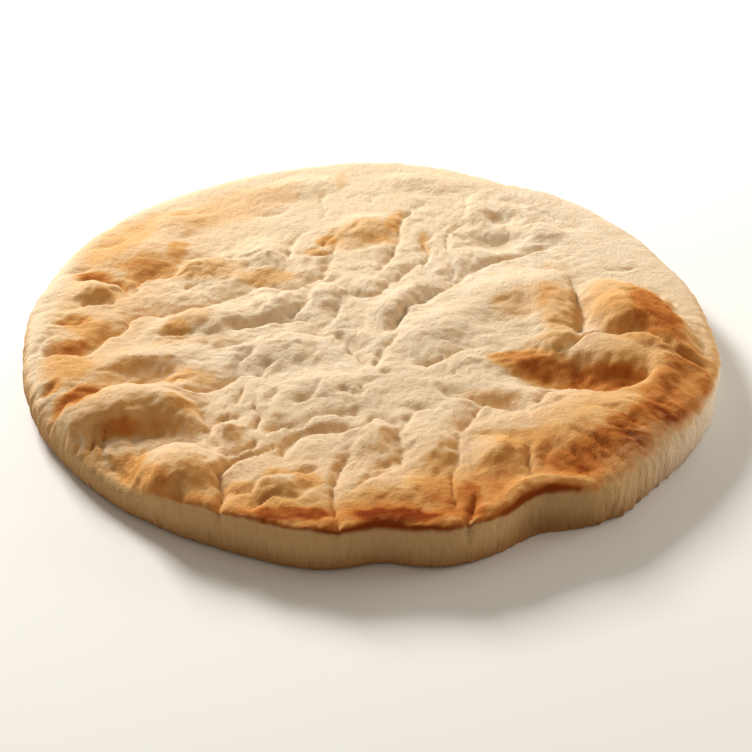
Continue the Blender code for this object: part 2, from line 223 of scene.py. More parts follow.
CREASES = [Crease(*row) for row in (
    # The fold at the front left, from its back crease round to the slit at its right
    (4, 13, 4.5, (
        (-104, -61), (-95, -53.5), (-87, -46), (-80, -40.5), (-74, -38.5), (-68, -41),
        (-60, -46.5), (-53, -43), (-47, -38), (-42, -35), (-36, -38),
    ), 0, 0.1),
    (2.6, 7, 4, ((-46, -77), (-47, -71), (-50, -63), (-53, -57), (-56, -54)), 0.1, 0.3),
    (2.5, 4, 14, (
        (-90, -74), (-86, -69.5), (-81, -66.5), (-75, -66), (-68, -66.5), (-62, -65), (-57, -62),
    ), 0.25, 0.4, 1),
    # The round puff behind it and the long ridges of the left half
    (2, 3, 3, ((-66, -43), (-65, -39.5), (-62, -37), (-58.5, -38), (-55, -41.5)), 0.1, 0.1),
    (2.6, 7, 4, (
        (-55, -22), (-51, -18), (-44, -16), (-38, -13.5), (-30, -12), (-20, -10), (-14, -11), (-10, -13.5),
    ), 0.1, 0.15),
    (3, 9, 5, (
        (-94, -24), (-91, -16), (-87, -11), (-84, -7), (-82, -1), (-79, 2.5), (-74, 3), (-69, 2.5),
        (-65, 5), (-58, 7), (-53, 10), (-49, 13), (-44, 17), (-40, 20.5), (-34, 22),
    ), 0.05, 0.1),
    (2.8, 6, 4, (
        (-51, -8), (-43, -5.5), (-37, -4.5), (-32, -2), (-27, 0), (-22, -0.5), (-18, -3), (-14, -10),
    ), 0.15, 0.1),
    (3, 8, 4, (
        (-45, 23), (-36, 23), (-30, 20.5), (-25, 21.5), (-20, 26), (-16, 30), (-14.5, 38), (-13, 44),
    ), 0.15, 0.2),
    # Browned folds near the left rim
    (3.4, 6, 3, ((-104, 25), (-94, 24.5), (-91, 25), (-87, 21), (-83, 16)), 0.15, 0.15),
    (2.7, 9, 4, (
        (-90, 10), (-85, 13), (-81, 19), (-80.5, 25), (-78, 28), (-71, 28), (-68.5, 33),
        (-66, 38), (-60, 40), (-54, 41), (-51, 46),
    ), 0.25, 0.2),
    (1.5, 6, 3, ((-99, 6), (-95, 8.5), (-90, 9.5), (-86, 9.5)), 0.3, 0.1),
    (1.8, 4, 3, ((-108, -5), (-104, -4), (-99, -3), (-95, 1))),
    (3.4, 9, 3, ((-109, -24), (-104, -22), (-98, -21.5), (-92, -21)), 0.2, 0.2),
    (1.8, 4, 3, ((-113, -22), (-109, -14), (-104, -9))),
    (2, 3.5, 3, ((-106, -47), (-101, -38))),
    (1.4, 3, 2.5, ((-98, -46), (-95, -40))),
    (1.6, 4, 2.5, ((-66, 20), (-63, 19.5), (-60, 25))),
    (1.8, 5, 3, ((-71, -12), (-67, -11.5), (-62, -11))),
    (1.4, 5, 4, ((-108, 29), (-103, 30), (-98, 34))),
    (1.4, 6, 4, ((-100, 47), (-92, 48), (-86, 53))),
    # Small puffs between the left half and the middle
    (2.2, 6, 4, ((-46, -37), (-44, -32), (-42, -26), (-39, -22), (-35, -21)), 0.2, 0.3),
    (1.8, 4, 3, ((-41, -34), (-36, -35), (-34, -30), (-30, -28))),
    (1.8, 6, 3, ((-40, 0), (-37, 6), (-34, 11), (-31, 19)), 0.3, 0.2),
    (2.4, 7, 4, ((-27, 0), (-25.5, 6), (-22.5, 13), (-18, 23)), 0.15, 0.2),
    (1.8, 5, 3, ((-15, -9), (-13, -1), (-11, 7), (-9, 13))),
    (1.4, 4, 3, ((-6, -13), (-4, -5), (-3, 2))),
    # The long creases up the middle
    (2.8, 6, 4, (
        (-20, 26), (-15, 25), (-11, 21), (-6, 16.5), (-1, 14.5), (3, 17.5), (6, 24), (10, 29),
        (15, 35), (19, 39),
    ), 0.1, 0.1),
    (2.8, 5, 3, ((19, 34), (18.8, 42), (19.5, 49), (21, 54), (24, 59)), 0.1, 0.25),
    (2.8, 6, 3, (
        (-1, 29), (2, 33), (5, 38), (8, 45), (9.5, 51), (10, 59), (11, 66), (14, 75), (15, 81),
    ), 0.15, 0.2),
    (3.4, 9, 6, (
        (4, -10), (8, -4), (10, 2), (13, 8), (18, 12), (22, 17), (26, 22), (30, 27), (33, 32),
        (37, 35), (41, 38.5), (46, 41), (51, 44), (55, 46), (61, 47.5), (70, 50),
    ), 0.1, 0.15),
    (2.2, 5, 3, ((21, 27), (25, 25.5), (28, 29), (29, 36))),
    (2.2, 4, 3, ((27.5, 44), (27.5, 53), (28, 59), (31, 64), (35, 66)), 0.2, 0.2),
    (1.6, 3, 3, ((28, 57), (32, 55), (36, 53))),
    # The crumpled patch behind the middle
    (2, 4, 3, ((-26, 43), (-20, 42), (-14, 46), (-13.5, 55))),
    (1.6, 3, 2.5, ((-22, 51), (-18, 50), (-16, 54), (-11, 60))),
    (1.4, 5, 4, ((-12, 47), (-2, 48), (7, 51))),
    (1.2, 3, 2.5, ((-11, 57), (-6, 60), (-3, 66))),
    (2, 6, 4, ((-29, 38), (-28.5, 47), (-29, 53), (-25, 59), (-19, 63)), 0.2, 0.3),
    # Soft folds of the back
    (1.6, 4, 3, ((-18, 66), (-17, 75), (-18, 82), (-17, 91))),
    (1.8, 5, 3, ((13, 77), (17, 78), (20, 83))),
    (1.2, 4, 3, ((-4, 81), (1, 84), (3, 89))),
    (1.8, 5, 4, ((34, 68), (34.5, 78), (36, 86), (40, 91))),
    (2.5, 8, 6, ((45, 60), (52, 65), (58, 66.5), (64, 65), (69, 62), (74, 57)), 0.2, 0.3),
    (2.1, 6, 4, ((59, 73), (66, 71), (71, 66), (78, 60))),
    (1.2, 6, 5, ((40, 84), (50, 83), (59, 80))),
    (1.2, 5, 4, ((80, 35), (85, 32), (90, 32), (95, 35))),
    (1.4, 7, 5, ((-46, 72), (-36, 72), (-28, 77))),
    (1.2, 7, 5, ((-75, 68), (-66, 70), (-56, 76))),
    # The slit in the middle and its neighbours
    (2.2, 8, 4, ((-22, -6), (-14, -7.5), (-6, -6), (1, -8.5))),
    (3.5, 6, 3, ((-13, -11.5), (-9, -15), (-5, -22), (0, -31)), 0.1, 0.2),
    (2.2, 4, 4, ((0, -31), (3, -25), (5, -19), (7, -14), (9, -8)), 0.1, 0.3),
    (1.6, 4, 3, ((1, -35), (4, -36), (8, -33))),
    (2.4, 6, 3, ((13, -27), (18, -29), (22, -27), (26, -24), (30, -20), (36, -16)), 0.15, 0.3),
    (1.8, 6, 3, ((-13, -47), (-10, -46), (-4, -48), (-2, -43), (3, -38)), 0.2, 0.3),
    (1.6, 5, 3, ((-25, -54), (-19, -46), (-16, -39))),
    (2.2, 7, 4, ((19, -43), (28, -46.5), (34, -49.5), (38, -52.5), (46, -55)), 0.2, 0.2),
    (1.8, 4, 3, ((53, -53), (54.5, -47), (57, -43.5), (61, -41.5)), 0.2, 0.2),
    (1.4, 4, 3, ((49, -57), (54, -55), (58, -52), (64, -50))),
    (0.7, 4, 3, ((39, 6), (44, 6.5), (48, 11))),
    # Small puffs in front of the middle
    (2.2, 4, 4, ((-51, -63), (-47, -61), (-42, -58.5), (-38, -58)), 0.2, 0.3),
    (2.4, 5, 3, ((-47, -80), (-42, -79.5), (-38, -76), (-36, -71)), 0.2, 0.2),
    (2, 4, 3, ((-37, -80), (-32, -78), (-29, -73)), 0.2, 0.2),
    (1.8, 3.5, 3, ((-37, -69), (-36, -60), (-36.5, -53), (-37, -47)), 0.2, 0.3),
    (1.6, 3.5, 3, ((-44, -52), (-41.5, -47), (-41, -42))),
    (1.6, 3.5, 3, ((-33, -53), (-31, -48), (-31, -42))),
    # The front rim's lobes and the creases that part them
    (2, 6, 4, (
        (-75, -88), (-73, -82), (-69, -75.5), (-63, -72), (-57, -73), (-51, -74.5),
    ), 0.3, 0.15),
    (1.2, 4, 4, ((-58, -92), (-56, -107)), 0.3, 0),
    (3, 3, 4, (
        (-46, -118), (-45.5, -110), (-44, -99), (-45.5, -90), (-43, -84.5), (-40, -81.5),
        (-35, -80.5), (-29, -81),
    ), 0, 0.2, 1.4),
    (2.4, 5, 4, ((-37, -103), (-35, -97.5), (-32.5, -94), (-28, -92), (-22, -90.5), (-15, -87)), 0.15, 0.2),
    (1.7, 6, 4, ((-37, -111), (-33, -105), (-29, -103), (-22, -102.5), (-19, -98), (-15, -93)), 0.1, 0.2),
    (1.4, 4, 3, ((-43, -98), (-39, -100), (-36, -97))),
    (2.3, 4, 4.5, (
        (-9, -122), (-9.5, -114), (-11.5, -106), (-11, -98), (-10, -90), (-8, -83), (-7, -77), (-3, -71),
    ), 0, 0.3),
    (1.7, 4, 3, ((-7, -101), (-3, -96.5), (1, -92.5), (6, -89.5), (10, -88)), 0.2, 0.3),
    (1.2, 4, 3, ((-1, -91), (3, -88), (7, -83))),
    (1.7, 5, 3.5, (
        (9.5, -91), (9.3, -81), (10, -73), (9.3, -67.5), (11, -62.5), (14, -57.5), (18, -54), (24, -52.5),
    ), 0.2, 0.2),
    (2.8, 7, 5, (
        (-30, -81), (-26.5, -79), (-24.5, -74), (-20, -68), (-15, -66), (-8, -66), (-3.5, -65.5),
        (-1, -62.5), (2, -61), (6, -63), (9, -67),
    ), 0.1, 0.1),
    (2.4, 6, 3, (
        (-34, -71), (-31, -66), (-27, -64), (-21, -63), (-19, -59), (-12, -57.5), (-4, -57.5), (3, -59.5),
    ), 0.15, 0.3),
    (1.4, 3.5, 3.5, ((25, -106), (24.5, -98), (25, -90), (25.5, -82), (27, -74), (28.5, -66)), 0, 0.15),
    (2.8, 7, 3, (
        (28, -69), (28.5, -63.5), (31, -59.5), (33.5, -54.5), (37, -52), (44, -54), (50, -56.5), (56, -52),
    ), 0.1, 0.25),
    (2.6, 3.5, 3, ((30, -118), (30.5, -108), (30, -98)), 0, 0.4),
    (1.5, 4, 3, ((48.5, -93), (48.5, -84), (48, -77), (45, -73)), 0.1, 0.2),
    (1.4, 6, 3, ((32, -69), (38, -70.5), (43, -72), (47, -76)), 0.3, 0.1),
    (1, 4, 3, ((51, -89), (53, -83), (55, -79.5), (60, -79)), 0.2, 0.3),
    # The deep hollow at the right, the ridge behind it and the creases round the blister
    (3.4, 13, 7, (
        (46, -30), (50, -34.5), (54, -38), (60, -38.5), (66, -38), (70, -40),
        (75, -42.5), (80, -42.5), (85, -41), (89, -35), (91, -28),
    ), 0.35, 0.25, 1.2),
    (3.8, 5, 5, (
        (62, -26), (66, -20), (70, -15.5), (76, -13.5), (84, -13.5), (90, -15.5), (96, -20),
        (102, -26), (111, -32),
    ), 0.2, 0.1),
    (2.3, 3.5, 9, (
        (66, -18), (69.5, -9), (70.5, -1), (71, 7), (70.5, 13), (69, 21), (68, 29), (68, 38),
    ), 0.1, 0.3),
    (1.6, 6, 4, ((56, 33), (62, 32), (67, 28)), 0.3, 0.2),
    (0.8, 3, 3, ((53, -29), (53.5, -22), (56, -15))),
    (0.9, 3, 3, ((58.5, -27), (58, -20), (60, -14))),
    (1, 3, 2, ((60, -23), (63, -21), (64.5, -17)), 0.2, 0.3),
    (0.9, 3, 3, ((65, -35), (66.5, -29), (68, -24)), 0.2, 0.3),
    (0.7, 3, 3, ((72, -37), (75, -31), (80, -28))),
    (1.2, 1.6, 1.6, ((82, 9.5), (87, 7.5), (91, 9.5))),
    (1.8, 5, 5, ((110.5, -27), (108.5, -16), (105, -4), (101, 8), (96, 18), (90, 25)), 0.2, 0.35, 1.4),
    (1, 3, 2.5, ((58, -7), (61, -6), (65, -8))),
)]

# Small creases that lie across the slopes of the deep ones
WRINKLES = [Crease(*row) for row in (
    # Down the face of the fold at the front left
    (0.8, 3, 3, ((-98, -73), (-96.5, -62))),
    (1, 3, 3, ((-93, -76), (-91, -63))),
    (1.7, 3.5, 3, ((-88, -77), (-87, -70), (-85, -63)), 0.4, 0.2),
    (1.7, 3.5, 3, ((-83, -80), (-83.5, -73), (-82, -62)), 0.4, 0.2),
    (1, 4, 3.5, ((-76, -83), (-78, -77), (-79.5, -69)), 0.4, 0.3),
    (0.7, 4, 3.5, ((-71, -77), (-73, -71), (-75, -64.5))),
    # Streaks that run out over the right rim
    (1.8, 4, 3, ((69, -57), (76, -59.5), (86, -69))),
    (1.2, 4, 3, ((76, -53), (84, -57), (93, -64))),
    (1, 5, 4, ((90, -44), (97, -50), (103, -56))),
    (0.8, 4, 3, ((94, -33), (101, -38), (108, -46))),
    (0.8, 2.5, 2.5, ((84, -50), (92, -55), (100, -62))),
    (1.4, 3, 2.5, ((60, -70), (66, -74), (74, -82))),
    (1.2, 3, 2.5, ((53, -72), (60, -79), (66, -87))),
    (1, 2.5, 2, ((70, -66), (78, -71), (86, -80))),
)]

# Broad puffs, and hollows where the amount is below zero
SWELLS = [Oval(*row) for row in (
    # The blister, the finger beside it and the ridge in front of them
    (5, 90, -1, 29, 15, 121, 0.85),
    (1.8, 80, -4, 14, 9, 80, 1.5),
    (1.3, 84, -9, 9, 7, 30, 1.4),
    (2.6, 62, 7, 32, 11, 87, 1.4),
    (2.8, 82, -21.5, 30, 11, -16, 1.2),
    (-2.2, 68, -34, 24, 10, -8, 1.2),
    (-1.2, 42, -50, 12, 6, -12, 1.6),
    (-1.4, 50, -36, 14, 9, -25, 1.6),
    (1.8, 93, -38, 16, 7, 75, 1.5),
    (2.8, 66, -66, 33, 24, 25),
    (1.4, 87, -52, 28, 16, 60),
    # The fold at the front left, its hollow, and the puff before it
    (3.9, -77, -54, 27, 13, 17, 1.1),
    (2.4, -60, -58.5, 12, 7, -35, 1.2),
    (-2, -79, -79, 21, 14, -20, 1),
    (-2, -78, -87, 15, 9, -42, 1.1),
    (-1.2, -63, -69, 14, 7, -6, 1.2),
    (3.5, -59, -87, 18, 13, -16, 1.3),
    (-1.8, -74, -33, 17, 8, 5),
    (1, -60, -40.5, 6.5, 4, 0, 1.2),
    # Broad puffs of the left half
    (1.3, -75, -27, 26, 12, 22),
    (2, -58, -2, 24, 10, 25),
    (2, -30, -20, 22, 14, 10),
    (1.8, -34, 8, 14, 10, 40),
    (1.8, -16, 14, 12, 9, 50),
    (1.8, -82, 44, 20, 16, 30),
    (2.2, -96, 17, 10, 9, 0),
    (1.8, -60, 34, 14, 9, 20),
    (1.6, -38, 42, 12, 14, 20),
    # The middle and the back
    (1.3, -10, -42, 25, 14, 0),
    (2, 20, -8, 26, 14, 45),
    (2, 10, 10, 20, 8, 55),
    (2.4, 46, 16, 26, 17, 40),
    (-2.2, 45, 53, 15, 9, 15),
    (-1.6, 48, 71, 10, 7, 20),
    (1.8, -2, 62, 18, 12, 25),
    (1.1, 38, 76, 8, 16, 5),
    (1.4, 62, 60, 12, 8, -20),
    (1.2, -30, 92, 26, 10, 15),
    (1.2, -70, 66, 20, 12, 40),
    (1.2, 20, 97, 20, 9, -10),
    # The front rim's lobes
    (2.4, 39, -80, 13, 10, 90),
    (1.8, 18, -74, 9, 20, 0),
    (1.8, 0, -73, 10, 16, 0),
    (1.5, 5, -98, 17, 14, 0),
    (2.2, -28, -97, 15, 12, 10),
    (2, -45, -68, 6, 8, 0),
)]

# Where the creases are shallower
QUIET_AREAS = [Oval(*row) for row in (
    (0.15, 0, 5, 75, 42, 10),
    (0.35, 5, 80, 100, 45, 0),
)]

# Where the crust is smoother
CALM_AREAS = [Oval(*row) for row in (
    (1, 46, 16, 34, 20, 45),
    (1, 88, 0, 30, 20, 100),
    (1, 84, -22, 26, 9, -18),
    (1, -30, 84, 90, 34, 14),
    (1, 92, 48, 60, 26, 115),
    (1, -77, -49, 24, 9, 12),
    (1, -92, 44, 34, 24, 50),
    (0.8, -90, -20, 30, 26, 70),
    (0.6, 70, -70, 46, 24, 38),
    (0.4, -20, -100, 60, 14, 0),
    (1, 99, -43, 34, 15, 68),
    (1, 106, -16, 16, 14, 0),
)]

# How brown the crust is between its patches: the front, its rim, the right and the left
TANNED = [Zone(*row) for row in (
    (0.15, 270, 110, 0.45, 0.35),
    (0.37, 268, 50, 0.82, 0.14),
    (0.24, 326, 60, 0.45, 0.4),
    (0.18, 170, 75, 0.45, 0.3, 0.96),
)]
ZONE_END = 0.08  # of the radius, in which a zone that ends fades out
# Painted shade: slopes that face away from the window light are made browner, more so towards the outside
AWAY_FROM_WINDOW = Vector((0.57, -0.82, 0.0))  # the slopes that turn this way are browner
PAINTED_SHADE_STEEPNESS = 0.6
PAINTED_SHADE_TAN = 0.18
PAINTED_SHADE_OUTSIDE = Zone(0.15, 260, 170, 0.4, 0.35)  # and more so here
STREAKED = Zone(0.22, 322, 40, 0.72, 0.15)
STREAK_TURN = math.radians(-38)
STREAK_SIZE = 1.9
STREAK_STRETCH = 6.0
BROWNED_AND_SHADED_SHARE = 0.82
BROWNED_AND_SHADED_EDGE = 1.3
# Below the lip the crust is darkened, partly as singeing and partly as painted shade
SINGE_AND_SHADE_START = 1.2  # above the lip
SINGE_AND_SHADE_BELOW_CRUST = 0.2
RAISED_TAN = 0.03  # for each millimetre of relief
RAISED_RANGE = (-3.0, 6.0)
MOTTLING = 0.25
MOTTLES = ((0.6, 7.0), (0.5, 2.6))  # (strength, size)
LEAST_BROWN = 0.05

# In one direction: (amount, direction in degrees, half width in degrees)
RIGHT_FADE = (0.6, 332, 55)  # how much of the browning is lost before the wall starts
# Paler side wall: at the right painted light with some flour, at the back flour
WALL_FLOUR_AND_LIGHT = ((0.95, 351, 46), (0.35, 110, 95))

# Where the oven has browned the crust, and where painted shade darkens it as well: behind ridges, under
# crests, along the front edge, in the hollow and on the blister's flank
BROWNED_AND_SHADED = [Oval(*row) for row in (
    # Left rim and its folds
    (0.75, -96.5, 28, 8, 4, 0),
    (0.4, -88, 23, 6, 2.5, -50),
    (0.18, -78, 34, 10, 9, 20),
    (0.2, -78, 28, 12, 4.5, 15),
    (0.3, -80, 34, 13, 4, 5),
    # These two are painted shade on the slopes behind the left ridges
    (0.18, -59, -14, 18, 4, 10),
    (0.15, -62, -33, 14, 4, 8),
    (0.3, -69, 45, 4, 8, -10),
    (0.14, -91, 13, 7, 4, 0),
    (0.45, -100, -2, 7, 3.5, 15),
    (0.62, -99.5, -17.5, 8, 4.5, 12),
    (0.34, -93, -8, 8, 9, 60),
    (0.3, -65, -9, 6, 4, 0),
    (0.2, -60, -2, 10, 7, 20),
    (0.9, -94.5, -49.5, 13, 7, 50),
    (0.4, -91, -50, 9, 5, 35),
    (0.6, -102.5, -42, 6, 3, 70),
    (0.18, -74, -38, 16, 5, 5),
    # Painted shade on the far slope behind the fold
    (0.24, -58, -36, 9, 5, 0),
    (0.32, -99, -30, 12, 11, 0),
    # Back left
    (0.34, -36, 28, 14, 5, 5),
    (0.24, -57, 31, 17, 8, 10),
    (0.22, -92, 52, 26, 14, 55),
    (0.18, -50, 78, 34, 14, 35),
    (0.16, -75, 71, 10, 4, 0),
    (0.2, -12, 98, 3, 8, 0),
    # The patch behind the middle
    (0.26, -5, 57, 20, 10, 25),
    (0.42, -17, 53, 5, 4, 40),
    (0.36, -19, 45, 6, 3, -20),
    (0.26, 4, 53, 7, 4, 10),
    (0.34, 8, 68, 3.5, 10, -10),
    (0.3, 19, 52, 2.5, 9, 0),
    # The fold at the front left
    (0.1, -92, -60, 18, 6, 45),
    (0.18, -58, -57, 8, 4, -20),
    # The thin band under the fold's crest: browning and painted shadow
    (0.55, -79, -65.5, 9, 2.5, 8),
    (0.1, -79, -72, 8, 10, 10),
    (0.35, -85, -73, 2, 7, 0),
    (0.24, -66, -66, 9, 4, 5),
    (0.58, -75, -82, 9, 7, -45),
    (0.35, -88, -73, 2, 8, -10),
    # The puff in front of it
    (0.42, -68, -92, 12, 5, -28),
    (0.36, -51, -104, 10, 4, -20),
    # The front rim
    (0.35, -19, -94, 5, 5, 0),
    (0.22, -40, -98, 5, 4, 0),
    # This row and the one at x 8 are the dark band along the front edge: browning, and painted shade where
    # the shoulder faces away from the light
    (0.9, -23, -110.5, 15, 4.5, -2),
    (0.25, -27, -90, 8, 4, 0),
    (0.38, -41, -111, 8, 4, -10),
    (0.9, 8, -112, 17, 4.5, 0),
    (0.35, 8, -112, 20, 7, 0),
    (0.1, 12, -104, 22, 12, 0),
    (0.2, 22, -94, 14, 14, 0),
    (0.28, 37, -90, 9, 9, 0),
    (0.35, 21, -99, 9, 9, 0),
    (0.6, 29.5, -101, 4, 7, 0),
    (0.58, 27, -109, 10, 5, 0),
    (0.16, 37, -97, 11, 9, 10),
    (0.15, 40, -69.5, 8, 3, -8),
    # The front right
    (0.5, 68, -84, 18, 11, 35),
    (0.28, 62, -78, 14, 9, 20),
    (0.5, 59, -86, 12, 9, 20),
    (0.25, 48, -75, 12, 8, 20),
    (0.2, 34, -99, 8, 8, 0),
    (0.58, 84, -68, 24, 11, 45),
    (0.52, 98, -45, 28, 12, 65),
    # The hollow, the ridge, the finger and the blister; in the hollow and on the blister's flank, browning
    # with painted shade
    (0.74, 61, -31, 19, 7, -8),
    (0.8, 75, -34.5, 16, 8, -10),
    (0.6, 50, -27, 16, 7, -14),
    (0.45, 53, -24, 15, 5, -12),
    (0.1, 82, -25, 28, 12, -18),
    (0.28, 87, -1, 29, 17, 121),
    (0.12, 91, -9, 18, 7, -32),
    (0.55, 95, -2, 17, 8, 118),
    (0.38, 94, -13, 12, 5, -40),
    (0.3, 104, -21, 8, 5, -45),
    (0.25, 38, -47, 12, 5, -10),
    (0.28, 63, 2, 9, 22, 0),
    (0.25, 56, -19, 10, 8, 0),
    (0.2, 64, 34, 6, 5, 0),
    # The plateau
    (0.16, 42, 9, 5, 4, 20),
    (0.2, 52, 8, 16, 10, 40),
)]

# Where the crust is broken into small lumps
CRUMBLY = [Oval(*row) for row in (
    (1, -40, 40, 22, 12, 20),
    (1, -40, -58, 12, 24, 0),
    (0.7, -20, -20, 36, 16, 0),
    (0.8, -74, -14, 12, 7, 0),
    (0.7, 5, 25, 22, 16, 50),
    (0.6, -60, 28, 14, 12, 0),
)]

# Where flour still lies on the crust
FLOURED = [Oval(*row) for row in (
    (0.72, -8, -8, 62, 42, 20),
    (1, 70, 65, 60, 34, 125),
    (0.8, 36, 36, 44, 30, 30),
    (0.4, -60, -20, 30, 20, 20),
)]

# Where the crust has stretched into fine parallel lines
STRETCHED = [Oval(*row) for row in (
    (1, 53, 12, 14, 26, 0),
    (0.8, 60, 35, 6, 9, 0),
    (0.7, 66, -8, 6, 12, 0),
)]


class Texture(NamedTuple):
    """A noise of the materials. Its size is in millimetres."""

    size: float
    detail: float
    roughness: float


class Lamp(NamedTuple):
    """A soft light that shines on the base from one direction. Its distance and size are in metres."""

    azimuth: float
    elevation: float
    distance: float
    size: float
    colour: tuple


# The colour of the crust, by how toasted it is
COARSE_MOTTLE = Texture(3.2, 4.0, 0.65)
FINE_MOTTLE = Texture(0.9, 3.0, 0.6)
FINE_SHARE = 0.3
TOAST_SWING = 0.24
TOAST_RANGES = {"Gold": (0.0, 0.5), "Brown": (0.36, 0.82), "Dark": (0.7, 1.0)}

# Flour, and the toasting over which it is gone
FLOUR_CLOUDS = Texture(6.0, 5.0, 0.6)
FLOUR_GRAINS = Texture(0.45, 2.0, 0.5)
CLOUD_RANGE = (0.36, 0.66)
GRAIN_RANGE = (0.3, 0.62)
FLOURLESS_RANGE = (0.15, 0.5)
FLOUR_COVER = 0.9

# The fine skin: its pores, its grain, and the lines where it has stretched
SKIN = Texture(1.3, 6.0, 0.62)
GRAIN = Texture(0.32, 3.0, 0.6)
GRAIN_SHARE = 0.35
LINES = Texture(0.8, 2.0, 0.5)
LINE_LENGTHS = (1.0, 9.0, 3.0)
LINE_SHARE = 0.5
SKIN_DEPTH = 0.7
SPECULAR = 0.02
ROUGHNESS = 0.8
PALE_ROUGHNESS = 0.2  # more of it on the wall and the flour
TOAST_GLOSS = 0.12
GLOW = 0.08  # of the light that goes in and comes out again
GLOW_COLOUR = (1.0, 0.5, 0.22)
GLOW_DEPTH = 2.5

# The side wall
FIBRES = Texture(0.9, 4.0, 0.6)
FIBRE_LENGTHS = (1.0, 1.0, 7.0)
# The wall is painted darker towards its foot: painted shade against the floor's bounce, and partly toasting
# by the tray
SHADE_TOP = 11.0  # where the darker foot ends
SHADE = 0.9

# The underside
UNDERSIDE_CLOUDS = Texture(22.0, 4.0, 0.6)
UNDERSIDE_RANGE = (0.35, 0.75)
UNDERSIDE_TOAST = 0.5
UNDERSIDE_FLOUR = 0.7
UNDERSIDE_BUMP = 0.8
UNDERSIDE_DEPTH = 0.5

# The studio, in metres
FLOOR_HALF = 12.0
FLOOR_GAP = 0.0002
FLOOR_ROUGHNESS = 0.85
SURROUND = (1.0, 0.87, 0.70)
WINDOW = Lamp(125.0, 32.0, 1.0, 0.32, (1.0, 0.975, 0.93))
REFLECTOR = Lamp(14.0, 14.0, 1.0, 0.6, (1.0, 0.96, 0.9))
CAMERA_TILT = math.radians(33.0)
CAMERA_TARGET = Vector((0.0022, -0.024, 0.008))
SENSOR_WIDTH = 36.0


class BreadSettings(bpy.types.PropertyGroup):
    """Sizes of the base, in millimetres."""

    radius: FloatProperty(name="Radius", description="Of the side wall, before its lobes", default=117.0)
    crust: FloatProperty(name="Crust height", description="Between its puffs and creases", default=16.5)
    bulge: FloatProperty(name="Bulge height", description="Where the wall stands out furthest", default=8.0)
    crease_depth: FloatProperty(name="Crease depth", description="On the depths in its table", default=0.9)
    swell_height: FloatProperty(name="Puff height", description="On the heights in its table", default=1.5)
    crumple: FloatProperty(name="Crumple", description="Height of the small puffs", default=1.25)
    wrinkle: FloatProperty(name="Wrinkles", description="Height of the fine wrinkles", default=0.75)
    crumbs: FloatProperty(name="Crumbs", description="Height of the small lumps", default=0.6)
    pimple: FloatProperty(name="Pimples", description="Height of the finest unevenness", default=0.14)
    fibre: FloatProperty(name="Fibres", description="Depth of the wall's torn fibres", default=0.3)
    cells: IntProperty(name="Cells", description="Along each side of the grid", default=300, min=20, max=310)


class ColourSettings(bpy.types.PropertyGroup):
    """Colours of the bread, from pale dough to the darkest edge."""

    pale: FloatVectorProperty(name="Pale", subtype="COLOR", size=3, default=(0.79, 0.626, 0.435))
    gold: FloatVectorProperty(name="Golden", subtype="COLOR", size=3, default=(0.73, 0.405, 0.145))
    brown: FloatVectorProperty(name="Brown", subtype="COLOR", size=3, default=(0.54, 0.185, 0.038))
    dark: FloatVectorProperty(name="Dark", subtype="COLOR", size=3, default=(0.24, 0.042, 0.006))
    crumb: FloatVectorProperty(name="Side wall", subtype="COLOR", size=3, default=(0.60, 0.375, 0.175))
    low_crumb: FloatVectorProperty(name="Wall foot", subtype="COLOR", size=3, default=(0.36, 0.17, 0.058))
    flour: FloatVectorProperty(name="Flour", subtype="COLOR", size=3, default=(0.86, 0.75, 0.60))


class StudioSettings(bpy.types.PropertyGroup):
    """The floor, the lights and the camera."""

    floor: FloatVectorProperty(name="Floor", subtype="COLOR", size=3, default=(0.85, 0.86, 0.865))
    key: FloatProperty(name="Window light", description="Strength in watts", default=15.2)
    reflector: FloatProperty(name="Reflector", description="Strength in watts", default=5.2)
    fill: FloatProperty(name="Fill light", description="Strength of the pale surround", default=0.36)
    distance: FloatProperty(name="Camera distance", unit="LENGTH", default=0.70)
    lens: FloatProperty(name="Lens", description="In millimetres", default=101.5)


def eased(value):
    """0 below 0, 1 above 1 and smooth between."""
    value = np.clip(value, 0.0, 1.0)
    return value * value * (3.0 - 2.0 * value)


def degrees_from(angle, direction):
    return (np.degrees(angle) - direction + 180.0) % 360.0 - 180.0


def edge_radius(angle, radius):
    """Radius of the side wall in each direction, with its lobes."""
    reach = np.full_like(angle, radius)
    for direction, half_width, outward in OUTLINE_LOBES:
        reach += outward * np.exp(-((degrees_from(angle, direction) / half_width) ** 2))
    return reach


def edge_there(angle, name):
    """One of the edge table's columns, read in each direction."""
    directions = [edge.direction for edge in EDGES]
    return np.interp(np.degrees(angle), directions, [getattr(edge, name) for edge in EDGES], period=360.0)


def past_flat(ring):
    """0 on the flat part of the crust, and 1 at the wall's foot."""
    return np.clip((ring - FLAT_SHARE) / (1.0 - FLAT_SHARE), 0.0, 1.0)


def profile(ring, angle, bread):
    """Distance in from the wall, and height, for rings from 0 in the middle to 1 at the foot."""
    lean = (0.5 - past_flat(ring)) * math.pi
    above = lean > 0.0
    power = np.where(above, edge_there(angle, "power"), FOOT_POWER)
    shoulder = edge_there(angle, "shoulder")
    inward = 1.0 - np.abs(np.cos(lean)) ** power
    rise = np.sign(lean) * np.abs(np.sin(lean)) ** power
    inset = np.where(above, shoulder, edge_there(angle, "foot")) * inward
    height = bread.bulge + np.where(above, bread.crust - bread.bulge, bread.bulge) * rise
    flat = ring < FLAT_SHARE
    within = shoulder + (1.0 - ring / FLAT_SHARE) * (bread.radius - shoulder)
    inset = np.where(flat, within, inset)
    height = np.where(flat, bread.crust, height)
    lip = np.exp(-(((height - edge_there(angle, "lip_height")) / LIP_SPREAD) ** 2))
    return inset - edge_there(angle, "lip") * lip, height


